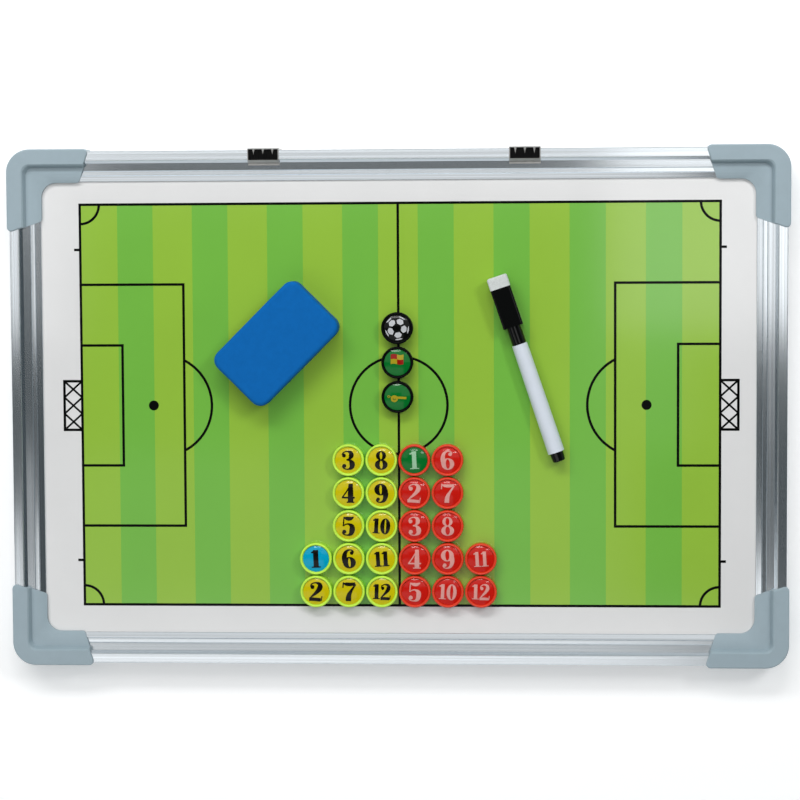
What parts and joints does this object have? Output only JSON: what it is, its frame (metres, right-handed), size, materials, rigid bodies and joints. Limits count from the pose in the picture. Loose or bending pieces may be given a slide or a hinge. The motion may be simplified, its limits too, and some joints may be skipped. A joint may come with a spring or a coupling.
{
  "type": "tactics board",
  "caption": "Magnetic football coaching board lying face up: framed steel panel with corner caps, sliding hanging clips, numbered magnetic discs, an eraser and a capped marker.",
  "frame": {"origin": "centre of the footprint, on the surface that the board lies on", "axes": "+X along the length, +Y towards the rail with the hanging clips, +Z out of the printed face"},
  "size_m": [0.45, 0.3, 0.0285],
  "materials": {
    "white_enamel": "glossy printed enamel",
    "fibre_core": "raw fibreboard",
    "zinc_back": "zinc-coated sheet",
    "rail_aluminium": "satin anodised extrusion",
    "grey_plastic": "fine satin moulding",
    "screw_steel": "zinc-plated",
    "clip_steel": "bright spring steel",
    "black_rubber": "ribbed, satin",
    "blue_foam": "closed-cell foam, smooth skin",
    "grey_felt": "pressed felt",
    "white_felt": "pressed felt",
    "magnet": "sintered magnet, matt",
    "white_plastic": "glossy moulding",
    "black_plastic": "glossy moulding",
    "ink_fibre": "bonded fibre with ink",
    "yellow_plastic": "fluorescent translucent moulding",
    "red_plastic": "translucent moulding"
  },
  "bodies": {
    "board": {"printed_panel": "white_enamel", "board_core": "fibre_core", "back_sheet": "zinc_back", "top_rail": "rail_aluminium", "bottom_rail": "rail_aluminium", "left_rail": "rail_aluminium", "right_rail": "rail_aluminium", "corner_cap_top_left": "grey_plastic", "corner_cap_top_right": "grey_plastic", "corner_cap_bottom_left": "grey_plastic", "corner_cap_bottom_right": "grey_plastic", "corner_screws": "screw_steel"},
    "left_hanger": {"hanger_clip_left": "clip_steel", "hanger_pad_left": "black_rubber"},
    "right_hanger": {"hanger_clip_right": "clip_steel", "hanger_pad_right": "black_rubber"},
    "eraser": {"eraser_foam": "blue_foam", "eraser_felt": "grey_felt", "eraser_magnet": "magnet"},
    "capped_end": {"marker_cap": "black_plastic", "marker_cap_magnet": "magnet", "marker_cap_felt": "white_felt"},
    "pen": {"marker_barrel": "white_plastic", "marker_tail_plug": "black_plastic", "marker_ink_core": "ink_fibre", "marker_nib_holder": "black_plastic", "marker_nib": "ink_fibre"},
    "yellow_disc_01": {"yellow_disc_01": "yellow_plastic"},
    "yellow_disc_02": {"yellow_disc_02": "yellow_plastic"},
    "yellow_disc_03": {"yellow_disc_03": "yellow_plastic"},
    "yellow_disc_04": {"yellow_disc_04": "yellow_plastic"},
    "yellow_disc_05": {"yellow_disc_05": "yellow_plastic"},
    "yellow_disc_06": {"yellow_disc_06": "yellow_plastic"},
    "yellow_disc_07": {"yellow_disc_07": "yellow_plastic"},
    "yellow_disc_08": {"yellow_disc_08": "yellow_plastic"},
    "yellow_disc_09": {"yellow_disc_09": "yellow_plastic"},
    "yellow_disc_10": {"yellow_disc_10": "yellow_plastic"},
    "yellow_disc_11": {"yellow_disc_11": "yellow_plastic"},
    "yellow_disc_12": {"yellow_disc_12": "yellow_plastic"},
    "red_disc_01": {"red_disc_01": "red_plastic"},
    "red_disc_02": {"red_disc_02": "red_plastic"},
    "red_disc_03": {"red_disc_03": "red_plastic"},
    "red_disc_04": {"red_disc_04": "red_plastic"},
    "red_disc_05": {"red_disc_05": "red_plastic"},
    "red_disc_06": {"red_disc_06": "red_plastic"},
    "red_disc_07": {"red_disc_07": "red_plastic"},
    "red_disc_08": {"red_disc_08": "red_plastic"},
    "red_disc_09": {"red_disc_09": "red_plastic"},
    "red_disc_10": {"red_disc_10": "red_plastic"},
    "red_disc_11": {"red_disc_11": "red_plastic"},
    "red_disc_12": {"red_disc_12": "red_plastic"},
    "ball_disc": {"ball_disc": "black_plastic"},
    "flag_disc": {"flag_disc": "black_plastic"},
    "whistle_disc": {"whistle_disc": "black_plastic"}
  },
  "joints": [
    {"name": "yellow_disc_01_pull", "type": "slide", "parent": "board", "child": "yellow_disc_01", "axis": [0, 0, 1], "range_m": [0, 0.04]},
    {"name": "yellow_disc_02_pull", "type": "slide", "parent": "board", "child": "yellow_disc_02", "axis": [0, 0, 1], "range_m": [0, 0.04]},
    {"name": "yellow_disc_03_pull", "type": "slide", "parent": "board", "child": "yellow_disc_03", "axis": [0, 0, 1], "range_m": [0, 0.04]},
    {"name": "yellow_disc_04_pull", "type": "slide", "parent": "board", "child": "yellow_disc_04", "axis": [0, 0, 1], "range_m": [0, 0.04]},
    {"name": "yellow_disc_05_pull", "type": "slide", "parent": "board", "child": "yellow_disc_05", "axis": [0, 0, 1], "range_m": [0, 0.04]},
    {"name": "yellow_disc_06_pull", "type": "slide", "parent": "board", "child": "yellow_disc_06", "axis": [0, 0, 1], "range_m": [0, 0.04]},
    {"name": "yellow_disc_07_pull", "type": "slide", "parent": "board", "child": "yellow_disc_07", "axis": [0, 0, 1], "range_m": [0, 0.04]},
    {"name": "yellow_disc_08_pull", "type": "slide", "parent": "board", "child": "yellow_disc_08", "axis": [0, 0, 1], "range_m": [0, 0.04]},
    {"name": "yellow_disc_09_pull", "type": "slide", "parent": "board", "child": "yellow_disc_09", "axis": [0, 0, 1], "range_m": [0, 0.04]},
    {"name": "yellow_disc_10_pull", "type": "slide", "parent": "board", "child": "yellow_disc_10", "axis": [0, 0, 1], "range_m": [0, 0.04]},
    {"name": "yellow_disc_11_pull", "type": "slide", "parent": "board", "child": "yellow_disc_11", "axis": [0, 0, 1], "range_m": [0, 0.04]},
    {"name": "yellow_disc_12_pull", "type": "slide", "parent": "board", "child": "yellow_disc_12", "axis": [0, 0, 1], "range_m": [0, 0.04]},
    {"name": "red_disc_01_pull", "type": "slide", "parent": "board", "child": "red_disc_01", "axis": [0, 0, 1], "range_m": [0, 0.04]},
    {"name": "red_disc_02_pull", "type": "slide", "parent": "board", "child": "red_disc_02", "axis": [0, 0, 1], "range_m": [0, 0.04]},
    {"name": "red_disc_03_pull", "type": "slide", "parent": "board", "child": "red_disc_03", "axis": [0, 0, 1], "range_m": [0, 0.04]},
    {"name": "red_disc_04_pull", "type": "slide", "parent": "board", "child": "red_disc_04", "axis": [0, 0, 1], "range_m": [0, 0.04]},
    {"name": "red_disc_05_pull", "type": "slide", "parent": "board", "child": "red_disc_05", "axis": [0, 0, 1], "range_m": [0, 0.04]},
    {"name": "red_disc_06_pull", "type": "slide", "parent": "board", "child": "red_disc_06", "axis": [0, 0, 1], "range_m": [0, 0.04]},
    {"name": "red_disc_07_pull", "type": "slide", "parent": "board", "child": "red_disc_07", "axis": [0, 0, 1], "range_m": [0, 0.04]},
    {"name": "red_disc_08_pull", "type": "slide", "parent": "board", "child": "red_disc_08", "axis": [0, 0, 1], "range_m": [0, 0.04]},
    {"name": "red_disc_09_pull", "type": "slide", "parent": "board", "child": "red_disc_09", "axis": [0, 0, 1], "range_m": [0, 0.04]},
    {"name": "red_disc_10_pull", "type": "slide", "parent": "board", "child": "red_disc_10", "axis": [0, 0, 1], "range_m": [0, 0.04]},
    {"name": "red_disc_11_pull", "type": "slide", "parent": "board", "child": "red_disc_11", "axis": [0, 0, 1], "range_m": [0, 0.04]},
    {"name": "red_disc_12_pull", "type": "slide", "parent": "board", "child": "red_disc_12", "axis": [0, 0, 1], "range_m": [0, 0.04]},
    {"name": "ball_disc_pull", "type": "slide", "parent": "board", "child": "ball_disc", "axis": [0, 0, 1], "range_m": [0, 0.04]},
    {"name": "flag_disc_pull", "type": "slide", "parent": "board", "child": "flag_disc", "axis": [0, 0, 1], "range_m": [0, 0.04]},
    {"name": "whistle_disc_pull", "type": "slide", "parent": "board", "child": "whistle_disc", "axis": [0, 0, 1], "range_m": [0, 0.04]},
    {"name": "eraser_lift", "type": "slide", "parent": "board", "child": "eraser", "axis": [0, 0, 1], "range_m": [0, 0.05]},
    {"name": "marker_lift", "type": "slide", "parent": "board", "child": "capped_end", "axis": [0, 0, 1], "range_m": [0, 0.04]},
    {"name": "pen_pull", "type": "slide", "parent": "capped_end", "child": "pen", "axis": [0.32, -0.9474, 0], "range_m": [0, 0.03]},
    {"name": "left_hanger_slide", "type": "slide", "parent": "board", "child": "left_hanger", "axis": [1, 0, 0], "range_m": [-0.09, 0.064]},
    {"name": "right_hanger_slide", "type": "slide", "parent": "board", "child": "right_hanger", "axis": [1, 0, 0], "range_m": [-0.063, 0.091]}
  ]
}
